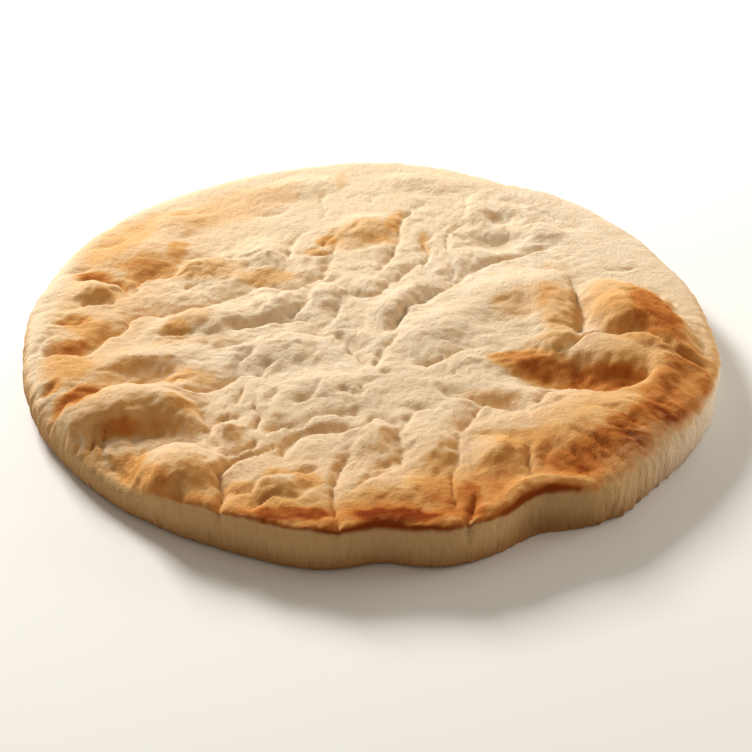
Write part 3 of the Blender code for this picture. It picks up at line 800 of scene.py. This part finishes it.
def route_points(corners):
    """A Catmull-Rom curve through the corners."""
    ends = [2.0 * np.array(corners[0]) - corners[1], 2.0 * np.array(corners[-1]) - corners[-2]]
    path = np.array([ends[0], *corners, ends[1]], float)
    points = []
    for before, start, end, after in zip(path, path[1:], path[2:], path[3:]):
        steps = max(2, int(np.linalg.norm(end - start) / ROUTE_STEP))
        for t in np.arange(steps)[:, None] / steps:
            square = 2 * before - 5 * start + 4 * end - after
            cube = 3 * start - before - 3 * end + after
            points.append(0.5 * (2 * start + (end - before) * t + square * t**2 + cube * t**3))
    points.append(path[-2])
    return np.vstack(points)


def beside(x, y, route):
    """Signed distance to the route, above 0 on its left, and the share of its length at that place."""
    ends = np.diff(route, axis=0)
    lengths = np.hypot(*ends.T)
    starts = np.concatenate([[0.0], np.cumsum(lengths)])
    nearest = np.full(x.shape, np.inf)
    side = np.ones_like(x)
    share = np.zeros_like(x)
    for start, end, length, done in zip(route, ends, lengths, starts):
        dx, dy = x - start[0], y - start[1]
        t = np.clip((dx * end[0] + dy * end[1]) / length**2, 0.0, 1.0)
        apart = np.hypot(dx - t * end[0], dy - t * end[1])
        closer = apart < nearest
        nearest = np.where(closer, apart, nearest)
        side = np.where(closer, np.sign(end[0] * dy - end[1] * dx), side)
        share = np.where(closer, (done + t * length) / starts[-1], share)
    return side * nearest, share


def faded(share, fade_in, fade_out):
    """1 along the middle of a crease, and 0 at an end that fades."""
    start = eased(share / fade_in) if fade_in else 1.0
    end = eased((1.0 - share) / fade_out) if fade_out else 1.0
    return start * end


def creases(x, y, table):
    """How far a table's creases cut in."""
    total = np.zeros_like(x)
    for crease in table:
        route = route_points(crease.route)
        reach = max(crease.far, crease.near)
        low, high = route.min(axis=0) - reach, route.max(axis=0) + reach
        near = np.flatnonzero((x > low[0]) & (x < high[0]) & (y > low[1]) & (y < high[1]))
        apart, share = beside(x[near], y[near], route)
        width = np.where(apart > 0.0, crease.far, NEAR_SHARE * crease.near)
        power = np.where(apart > 0.0, crease.power, NEAR_POWER)
        slope = np.clip(1.0 - np.abs(apart) / width, 0.0, 1.0) ** power
        cut = crease.depth * slope * faded(share, crease.fade_in, crease.fade_out)
        total[near] += cut**CREASE_BLEND
    return total ** (1.0 / CREASE_BLEND)


def across_oval(x, y, oval):
    """0 in the middle of an oval and 1 at its edge, squared."""
    cos, sin = math.cos(math.radians(oval.turn)), math.sin(math.radians(oval.turn))
    along = ((x - oval.x) * cos + (y - oval.y) * sin) / oval.half_length
    across = ((y - oval.y) * cos - (x - oval.x) * sin) / oval.half_width
    return along**2 + across**2


def swells(x, y):
    total = np.zeros_like(x)
    for swell in SWELLS:
        total += swell.amount * np.clip(1.0 - across_oval(x, y, swell), 0.0, 1.0) ** swell.power
    return total


def covered(x, y, patches, sharpness=1.0):
    """How much all the patches together give, as if laid over each other."""
    left = np.ones_like(x)
    for patch in patches:
        left *= 1.0 - patch.amount * eased(sharpness * (1.0 - across_oval(x, y, patch)))
    return 1.0 - left


def noise_at(places, octaves=None):
    """Blender's noise at each place: plain, or puffed up with hard creases where octaves are given."""
    if octaves is None:
        return np.array([noise.noise(Vector(place)) for place in places])
    return np.array([noise.turbulence(Vector(place), octaves, True) for place in places])


def on_plan(x, y, size, turn=0.0, stretch=1.0):
    """Places for the noise, turned and drawn out on the plan."""
    cos, sin = math.cos(turn), math.sin(turn)
    along = (x * cos + y * sin) / (size * stretch)
    across = (y * cos - x * sin) / size
    return np.stack([along, across, np.zeros_like(x)], axis=1)


def wander(x, y):
    """The plan, stirred a little so that no crease runs quite true."""
    noise.seed_set(WANDER_SEED)
    places = np.stack([x, y, np.zeros_like(x)], axis=1) / WANDER_SIZE
    broad = np.array([noise.noise_vector(Vector(place)) for place in places])
    tight = np.array([noise.noise_vector(Vector(place)) for place in places * RAGGED_SIZE_SHARE])
    moved = WANDER * broad + RAGGED * tight
    return x + moved[:, 0], y + moved[:, 1]


def crust_relief(x, y, bread):
    x, y = wander(x, y)
    lively = 1.0 - CALMING * covered(x, y, CALM_AREAS, CALMNESS)
    crumple = noise_at(on_plan(x, y, CRUMPLE_SIZE, CRUMPLE_TURN, CRUMPLE_STRETCH), CRUMPLE_OCTAVES)
    wrinkle = noise_at(on_plan(x, y, WRINKLE_SIZE), WRINKLE_OCTAVES)
    pimple = noise_at(on_plan(x, y, PIMPLE_SIZE))
    fine = bread.crumple * (crumple - crumple.mean()) + bread.wrinkle * (wrinkle - wrinkle.mean())
    crumbs = noise_at(on_plan(x, y, CRUMB_SIZE), CRUMB_OCTAVES)
    fine += bread.crumbs * crumbs * (CRUMB_LEAST + covered(x, y, CRUMBLY))
    bold = 1.0 - covered(x, y, QUIET_AREAS, BOLDNESS)
    cuts = bold * creases(x, y, CREASES) + creases(x, y, WRINKLES)
    folds = bread.swell_height * swells(x, y) - bread.crease_depth * cuts
    return folds + lively * fine + bread.pimple * pimple


def wrapped_grid(cells):
    """A square grid whose rings become circles, with each vertex's ring and direction."""
    mesh = bmesh.new()
    bmesh.ops.create_grid(mesh, x_segments=cells, y_segments=cells, size=1.0)
    across, up = np.array([vertex.co.xy for vertex in mesh.verts]).T
    ring = np.maximum(np.abs(across), np.abs(up))
    wide = np.abs(across) >= np.abs(up)
    longer = np.where(wide, across, up)
    shorter = np.where(wide, up, across)
    slant = shorter / np.where(longer == 0.0, 1.0, longer) * math.pi / 4.0
    angle = np.where(wide, slant, math.pi / 2.0 - slant) + np.where(longer < 0.0, math.pi, 0.0)
    return mesh, ring, angle


def wall_wave(angle, height, radius):
    """Slow unevenness of the side wall."""
    places = np.stack([radius * np.cos(angle), radius * np.sin(angle), height], axis=1)
    return WALL_WAVE * noise_at(places / WALL_WAVE_SIZE)


def wall_fibres(angle, height, radius):
    """Torn fibres that run up and down the wall, and the ragged edge of its foot."""
    round_wall = np.stack([radius * np.cos(angle), radius * np.sin(angle)], axis=1)
    fibres = noise_at(np.column_stack([round_wall / FIBRE_SIZE, height / FIBRE_LENGTH]))
    torn = np.column_stack([round_wall / FOOT_TEAR_SIZE, height / FIBRE_LENGTH])
    tears = noise_at(torn, FOOT_TEAR_OCTAVES)
    return fibres - FOOT_TEAR * tears * eased(1.0 - height / FOOT_TEAR_HEIGHT)


def bread_shape(bread):
    """The wrapped grid as bread, with what its colours need to know about each vertex."""
    mesh, ring, angle = wrapped_grid(bread.cells)
    inset, height = profile(ring, angle, bread)
    edge = edge_radius(angle, bread.radius)
    reach = edge - inset * edge / bread.radius
    plan_x, plan_y = reach * np.cos(angle), reach * np.sin(angle)
    within = inset - edge_there(angle, "shoulder")
    relief = crust_relief(plan_x, plan_y, bread)
    relief += edge_there(angle, "rise") * np.clip(1.0 - within / RISE_REACH, 0.0, 1.0) ** RISE_POWER
    relief *= eased((height - bread.bulge + RELIEF_FOOT) / (bread.crust - bread.bulge))
    turned = np.minimum(past_flat(ring) * 2.0, 1.0) * math.pi / 2.0
    side = eased(WALL_BLEND * past_flat(ring))
    rough = bread.fibre * edge_there(angle, "roughness") * wall_fibres(angle, height, bread.radius)
    wall = side * eased((bread.crust - FIBRE_TOP - height) / FIBRE_FADE)
    final_height = height + relief * np.sqrt(np.cos(turned).clip(0.0))
    reach = reach + RIM_RELIEF * relief * np.sin(turned)
    reach = reach + side * wall_wave(angle, height, bread.radius) + wall * rough
    x, y = reach * np.cos(angle), reach * np.sin(angle)
    x -= (x.max() + x.min()) / 2.0
    y -= (y.max() + y.min()) / 2.0
    places = np.stack([x, y, final_height], axis=1)
    facts = {
        "x": plan_x,
        "y": plan_y,
        "profile": height,
        "relief": relief,
        "angle": angle,
        "edge": edge,
        "inward": np.maximum(within, 0.0),
        "crust": bread.crust,
    }
    return mesh, places, facts


def wall_share(facts):
    """1 on the pale side wall, 0 on the crust."""
    x, y, height = facts["x"], facts["y"], facts["profile"]
    wobble = noise_at(np.stack([x, y, height], axis=1) / WALL_WOBBLE_SIZE)
    fray = noise_at(np.stack([x, y, height / WALL_FRAY_LENGTH], axis=1) / WALL_FRAY_SIZE)
    softness = edge_there(facts["angle"], "softness")
    top = edge_there(facts["angle"], "wall_top") + WALL_WOBBLE * wobble + WALL_FRAY * softness * fray
    climbed = height + WALL_INWARD * facts["inward"]
    return eased(0.5 + (top - climbed) / softness)


def toward(angle, direction, half_width):
    """1 in that direction, and falling to 0 on both sides of it."""
    return eased(1.0 - np.abs(degrees_from(angle, direction)) / half_width)


def in_zone(zone, angle, radial):
    out = eased((radial - zone.start) / zone.fade) * eased((zone.end - radial) / ZONE_END)
    return zone.amount * toward(angle, zone.direction, zone.half_width) * out


def wall_flour_and_painted_light(angle):
    """How much paler the side wall is in each direction: painted light with some flour at the right, and
    flour at the back.
    """
    return sum(amount * toward(angle, *there) for amount, *there in WALL_FLOUR_AND_LIGHT)


def browning(facts):
    """How brown the crust is, from its places, its slopes and its height, with painted shade on slopes that
    face away from the light and below the lip.
    """
    x, y = wander(facts["x"], facts["y"])
    angle = facts["angle"]
    radial = np.hypot(x, y) / facts["edge"]
    general = sum(in_zone(zone, angle, radial) for zone in TANNED)
    # Singeing and painted shade: darker below the lip
    starts = np.minimum(edge_there(angle, "lip_height") + SINGE_AND_SHADE_START, facts["crust"] - SINGE_AND_SHADE_BELOW_CRUST)
    singed_and_shaded = edge_there(angle, "singe_and_shade") * eased((starts - facts["profile"]) / SINGE_AND_SHADE_START)
    # Browned patches, some of them painted shade
    patches = np.maximum(BROWNED_AND_SHADED_SHARE * covered(x, y, BROWNED_AND_SHADED, BROWNED_AND_SHADED_EDGE), singed_and_shaded)
    # Painted shade: browner on slopes that face away from the window light
    lee = eased(facts["lee"] / PAINTED_SHADE_STEEPNESS) * (PAINTED_SHADE_TAN + in_zone(PAINTED_SHADE_OUTSIDE, angle, radial))
    streaks = noise_at(on_plan(x, y, STREAK_SIZE, STREAK_TURN, STREAK_STRETCH))
    brown = 1.0 - (1.0 - general) * (1.0 - patches) * (1.0 - lee)
    brown += in_zone(STREAKED, angle, radial) * streaks
    fading, *there = RIGHT_FADE
    brown *= 1.0 - fading * toward(angle, *there) * facts["wall"]
    mottled = sum(strength * noise_at(on_plan(x, y, size)) for strength, size in MOTTLES)
    raised = RAISED_TAN * np.clip(facts["relief"], *RAISED_RANGE)
    return np.clip(brown * (1.0 + MOTTLING * mottled + raised) + LEAST_BROWN, 0.0, 1.0)


def paint(data, name, values):
    attribute = data.attributes.new(name, "FLOAT", "POINT")
    attribute.data.foreach_set("value", values.astype(np.float32))


def bread_mesh(bread):
    mesh, places, facts = bread_shape(bread)
    for vertex, place in zip(mesh.verts, places):
        vertex.co = Vector(place) * MM
    mesh.normal_update()
    # Painted shade: how far each slope faces away from the window light
    facts["lee"] = np.array([vertex.normal.dot(AWAY_FROM_WINDOW) for vertex in mesh.verts])
    foot = [edge for edge in mesh.edges if edge.is_boundary]
    underside = bmesh.ops.contextual_create(mesh, geom=foot)["faces"]
    for face in underside:
        face.material_index = 1
    bmesh.ops.recalc_face_normals(mesh, faces=mesh.faces)
    data = bpy.data.meshes.new("puffed_bread")
    mesh.to_mesh(data)
    mesh.free()
    data.shade_smooth()
    data.set_sharp_from_angle(angle=SHARP_ANGLE)
    facts["wall"] = wall_share(facts)
    paint(data, "browning", browning(facts))
    paint(data, "flour", covered(facts["x"], facts["y"], FLOURED))
    paint(data, "wall", facts["wall"])
    paint(data, "wall_flour_and_light", wall_flour_and_painted_light(facts["angle"]))
    paint(data, "stretched", covered(facts["x"], facts["y"], STRETCHED))
    return data


class Nodes:
    """Adds nodes to a tree and links them, so that a material reads from top to bottom."""

    def __init__(self, tree):
        self.tree = tree

    def add(self, kind, inputs=(), **settings):
        node = self.tree.nodes.new(kind)
        for name, value in settings.items():
            setattr(node, name, value)
        for socket, value in dict(inputs).items():
            if isinstance(value, bpy.types.NodeSocket):
                self.tree.links.new(value, node.inputs[socket])
            else:
                node.inputs[socket].default_value = value
        return node

    def link(self, output, socket):
        self.tree.links.new(output, socket)

    def math(self, operation, *values, clamp=False):
        sockets = dict(enumerate(values))
        return self.add("ShaderNodeMath", sockets, operation=operation, use_clamp=clamp).outputs[0]

    def mix(self, factor, first, second):
        """Two colours, which are the mix node's sockets 6 and 7."""
        return self.add("ShaderNodeMix", {0: factor, 6: first, 7: second}, data_type="RGBA").outputs[2]

    def ramp(self, value, low, high):
        """0 at low, 1 at high and smooth between."""
        sockets = {"Value": value, "From Min": low, "From Max": high}
        return self.add("ShaderNodeMapRange", sockets, interpolation_type="SMOOTHSTEP").outputs[0]

    def noise(self, place, texture):
        sockets = {
            "Vector": place,
            "Scale": 1.0 / (texture.size * MM),
            "Detail": texture.detail,
            "Roughness": texture.roughness,
        }
        return self.add("ShaderNodeTexNoise", sockets).outputs["Fac"]

    def bump(self, height, strength, depth):
        """A normal from a height, whose full depth is in millimetres."""
        sockets = {"Height": height, "Strength": strength, "Distance": depth * MM}
        return self.add("ShaderNodeBump", sockets).outputs[0]

    def group(self, tree, inputs):
        return self.add("ShaderNodeGroup", inputs, node_tree=tree).outputs

    def drawn_out(self, place, lengths):
        """The place, so that a pattern on it is that many times longer along X, Y and Z."""
        shrink = tuple(1.0 / length for length in lengths)
        return self.add("ShaderNodeMapping", {"Vector": place, "Scale": shrink}).outputs[0]


def node_group(name, inputs, outputs):
    """An empty group with its sockets, and its input and output nodes."""
    tree = bpy.data.node_groups.new(name, "ShaderNodeTree")
    for label, kind in inputs:
        tree.interface.new_socket(label, in_out="INPUT", socket_type=kind)
    for label, kind in outputs:
        tree.interface.new_socket(label, in_out="OUTPUT", socket_type=kind)
    nodes = Nodes(tree)
    return nodes, nodes.add("NodeGroupInput"), nodes.add("NodeGroupOutput")


def toasting_group():
    """Turns an amount of browning into a colour, mottled finely."""
    colours = [(label, "NodeSocketColor") for label in ("Pale", *TOAST_RANGES)]
    sockets = [("Place", "NodeSocketVector"), ("Browning", "NodeSocketFloat"), *colours]
    results = [("Color", "NodeSocketColor"), ("Toast", "NodeSocketFloat")]
    nodes, given, made = node_group("Toasting", sockets, results)
    coarse = nodes.math("MULTIPLY", nodes.noise(given.outputs["Place"], COARSE_MOTTLE), 1.0 - FINE_SHARE)
    fine = nodes.math("MULTIPLY", nodes.noise(given.outputs["Place"], FINE_MOTTLE), FINE_SHARE)
    swing = nodes.math("MULTIPLY_ADD", nodes.math("ADD", coarse, fine), TOAST_SWING, -0.5 * TOAST_SWING)
    toast = nodes.math("ADD", given.outputs["Browning"], swing, clamp=True)
    colour = given.outputs["Pale"]
    for label, span in TOAST_RANGES.items():
        colour = nodes.mix(nodes.ramp(toast, *span), colour, given.outputs[label])
    nodes.link(colour, made.inputs["Color"])
    nodes.link(toast, made.inputs["Toast"])
    return nodes.tree


def flour_group():
    """Where a dusting of flour shows: in soft clouds, broken up into fine grains."""
    sockets = [("Place", "NodeSocketVector"), ("Amount", "NodeSocketFloat")]
    nodes, given, made = node_group("Flour", sockets, [("Mask", "NodeSocketFloat")])
    clouds = nodes.ramp(nodes.noise(given.outputs["Place"], FLOUR_CLOUDS), *CLOUD_RANGE)
    grains = nodes.ramp(nodes.noise(given.outputs["Place"], FLOUR_GRAINS), *GRAIN_RANGE)
    cover = nodes.math("MULTIPLY", clouds, grains)
    nodes.link(nodes.math("MULTIPLY", cover, given.outputs["Amount"]), made.inputs["Mask"])
    return nodes.tree


def grain_group():
    """The height of the crust's fine skin: pores, tiny blisters and grain."""
    sockets = [("Place", "NodeSocketVector")]
    nodes, given, made = node_group("Dough grain", sockets, [("Height", "NodeSocketFloat")])
    skin = nodes.noise(given.outputs["Place"], SKIN)
    grain = nodes.math("MULTIPLY", nodes.noise(given.outputs["Place"], GRAIN), GRAIN_SHARE)
    nodes.link(nodes.math("ADD", skin, grain), made.inputs["Height"])
    return nodes.tree


def rgba(colour):
    return (*colour, 1.0)


def new_material(name):
    """A material with its nodes, its shader's inputs and each place on the piece."""
    material = bpy.data.materials.new(name)
    material.use_nodes = True
    nodes = Nodes(material.node_tree)
    shader = material.node_tree.nodes["Principled BSDF"].inputs
    return material, nodes, shader, nodes.add("ShaderNodeTexCoord").outputs["Object"]


def toasted(nodes, tree, place, browning, palest, colours):
    """The outputs of the toasting group, between a palest colour and the darkest brown."""
    shades = {"Pale": palest, "Gold": colours.gold, "Brown": colours.brown, "Dark": colours.dark}
    sockets = {label: rgba(colour) for label, colour in shades.items()}
    return nodes.group(tree, {"Place": place, "Browning": browning, **sockets})


def crust_material(colours, groups):
    material, nodes, shader, place = new_material("baked crust")
    browning, flour, wall, wall_flour_and_light, stretched = (
        nodes.add("ShaderNodeAttribute", attribute_name=name).outputs["Fac"]
        for name in ("browning", "flour", "wall", "wall_flour_and_light", "stretched")
    )
    toasting = toasted(nodes, groups["toasting"], place, browning, colours.pale, colours)
    toast = toasting["Toast"]
    mask = nodes.group(groups["flour"], {"Place": place, "Amount": flour})["Mask"]
    dusted = nodes.math("MULTIPLY", mask, nodes.math("SUBTRACT", 1.0, nodes.ramp(toast, *FLOURLESS_RANGE)))
    crust = nodes.mix(nodes.math("MULTIPLY", dusted, FLOUR_COVER), toasting["Color"], rgba(colours.flour))
    fibres = nodes.noise(nodes.drawn_out(place, FIBRE_LENGTHS), FIBRES)
    above = nodes.add("ShaderNodeSeparateXYZ", {"Vector": place}).outputs["Z"]
    # Painted shade, partly toasting: the wall darker towards its foot
    low_down = nodes.math("SUBTRACT", 1.0, nodes.ramp(above, 0.0, SHADE_TOP * MM))
    between = nodes.math("ADD", low_down, nodes.math("SUBTRACT", 0.5, fibres))
    shaded = nodes.math("MULTIPLY", between, SHADE, clamp=True)
    crumb = nodes.mix(shaded, rgba(colours.crumb), rgba(colours.low_crumb))
    # The wall made paler: flour, and painted light at the right
    crumb = nodes.mix(wall_flour_and_light, crumb, rgba(colours.flour))
    nodes.link(nodes.mix(wall, crust, crumb), shader["Base Color"])
    dry = nodes.math("MULTIPLY_ADD", nodes.math("MAXIMUM", wall, dusted), PALE_ROUGHNESS, ROUGHNESS)
    glossy = nodes.math("SUBTRACT", dry, nodes.math("MULTIPLY", toast, TOAST_GLOSS))
    nodes.link(glossy, shader["Roughness"])
    grain = nodes.group(groups["grain"], {"Place": place})["Height"]
    lines = nodes.noise(nodes.drawn_out(place, LINE_LENGTHS), LINES)
    lines = nodes.math("MULTIPLY", lines, nodes.math("MULTIPLY", stretched, LINE_SHARE))
    height = nodes.math("ADD", nodes.math("ADD", grain, lines), nodes.math("MULTIPLY", fibres, wall))
    nodes.link(nodes.bump(height, 1.0, SKIN_DEPTH), shader["Normal"])
    shader["Specular IOR Level"].default_value = SPECULAR
    shader["Subsurface Weight"].default_value = GLOW
    shader["Subsurface Radius"].default_value = GLOW_COLOUR
    shader["Subsurface Scale"].default_value = GLOW_DEPTH * MM
    return material


def underside_material(colours, groups):
    material, nodes, shader, place = new_material("baked underside")
    clouds = nodes.ramp(nodes.noise(place, UNDERSIDE_CLOUDS), *UNDERSIDE_RANGE)
    browning = nodes.math("MULTIPLY", clouds, UNDERSIDE_TOAST)
    toasting = toasted(nodes, groups["toasting"], place, browning, colours.crumb, colours)
    mask = nodes.group(groups["flour"], {"Place": place, "Amount": UNDERSIDE_FLOUR})["Mask"]
    nodes.link(nodes.mix(mask, toasting["Color"], rgba(colours.flour)), shader["Base Color"])
    grain = nodes.group(groups["grain"], {"Place": place})["Height"]
    nodes.link(nodes.bump(grain, UNDERSIDE_BUMP, UNDERSIDE_DEPTH), shader["Normal"])
    shader["Roughness"].default_value = ROUGHNESS
    return material


def settled_on_node(piece):
    """Centres the piece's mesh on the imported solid, standing where it stands."""
    low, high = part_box(NODE)
    middle = (Vector(low) + Vector(high)) / 2.0
    for vertex in piece.data.vertices:
        vertex.co += Vector((middle.x, middle.y, low[2]))


class PIZZABASE_OT_bread(bpy.types.Operator):
    """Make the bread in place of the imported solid"""

    bl_idname = "pizzabase.bread"
    bl_label = "Bread"

    def execute(self, context):
        scene = context.scene
        piece = bpy.data.objects.new("puffed_bread", bread_mesh(scene.pizzabase_bread))
        scene.collection.objects.link(piece)
        groups = {"toasting": toasting_group(), "flour": flour_group(), "grain": grain_group()}
        piece.data.materials.append(crust_material(scene.pizzabase_colours, groups))
        piece.data.materials.append(underside_material(scene.pizzabase_colours, groups))
        settled_on_node(piece)
        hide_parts(NODE)
        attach(piece, "root")
        return {"FINISHED"}


def floor_material(colour):
    material = bpy.data.materials.new("studio floor")
    material.use_nodes = True
    shader = material.node_tree.nodes["Principled BSDF"].inputs
    shader["Base Color"].default_value = rgba(colour)
    shader["Roughness"].default_value = FLOOR_ROUGHNESS
    return material


def soft_light(name, lamp, power, target):
    data = bpy.data.lights.new(name, "AREA")
    data.size = lamp.size
    data.energy = power
    data.color = lamp.colour
    light = bpy.data.objects.new(name, data)
    bpy.context.scene.collection.objects.link(light)
    around, up = math.radians(lamp.azimuth), math.radians(lamp.elevation)
    away = Vector((math.cos(around) * math.cos(up), math.sin(around) * math.cos(up), math.sin(up)))
    light.location = target + away * lamp.distance
    light.rotation_euler = away.to_track_quat("Z", "Y").to_euler()


class PIZZABASE_OT_stage(bpy.types.Operator):
    """Lay the floor, and set up the lights and the camera"""

    bl_idname = "pizzabase.stage"
    bl_label = "Studio"

    def execute(self, context):
        scene = context.scene
        studio = scene.pizzabase_studio
        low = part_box(NODE)[0]
        mesh = bmesh.new()
        bmesh.ops.create_grid(mesh, x_segments=1, y_segments=1, size=FLOOR_HALF)
        bmesh.ops.translate(mesh, verts=mesh.verts, vec=(0.0, 0.0, low[2] - FLOOR_GAP))
        data = bpy.data.meshes.new("studio_floor")
        mesh.to_mesh(data)
        mesh.free()
        floor = bpy.data.objects.new("studio_floor", data)
        scene.collection.objects.link(floor)
        floor.data.materials.append(floor_material(studio.floor))
        middle = Vector((0.0, 0.0, low[2]))
        soft_light("window", WINDOW, studio.key, middle)
        soft_light("reflector", REFLECTOR, studio.reflector, middle)
        world = bpy.data.worlds.new("pale_surround")
        world.use_nodes = True
        backdrop = world.node_tree.nodes["Background"].inputs
        backdrop["Color"].default_value = rgba(SURROUND)
        backdrop["Strength"].default_value = studio.fill
        scene.world = world
        camera = bpy.data.objects.new("photo_camera", bpy.data.cameras.new("photo_camera"))
        scene.collection.objects.link(camera)
        scene.camera = camera
        camera.data.lens = studio.lens
        camera.data.sensor_width = SENSOR_WIDTH
        back = Vector((0.0, -math.cos(CAMERA_TILT), math.sin(CAMERA_TILT)))
        camera.location = CAMERA_TARGET + back * studio.distance
        camera.rotation_euler = back.to_track_quat("Z", "Y").to_euler()
        scene.view_settings.view_transform = "Standard"
        return {"FINISHED"}


class PIZZABASE_PT_panel(bpy.types.Panel):
    """Lists what the add-on makes"""

    bl_label = "Pizza base"
    bl_space_type = "VIEW_3D"
    bl_region_type = "UI"
    bl_category = "Pizza base"

    def draw(self, context):
        for operator in OPERATORS:
            self.layout.operator(operator.bl_idname)


SETTINGS = {
    "pizzabase_bread": BreadSettings,
    "pizzabase_colours": ColourSettings,
    "pizzabase_studio": StudioSettings,
}
OPERATORS = (PIZZABASE_OT_bread, PIZZABASE_OT_stage)
CLASSES = (*SETTINGS.values(), *OPERATORS, PIZZABASE_PT_panel)


def register():
    for made in CLASSES:
        bpy.utils.register_class(made)
    for name, group in SETTINGS.items():
        setattr(bpy.types.Scene, name, PointerProperty(type=group))


def unregister():
    for name in SETTINGS:
        delattr(bpy.types.Scene, name)
    for made in reversed(CLASSES):
        bpy.utils.unregister_class(made)


def main():
    register()
    bpy.ops.pizzabase.bread()
    bpy.ops.pizzabase.stage()


if __name__ == "__main__":
    main()
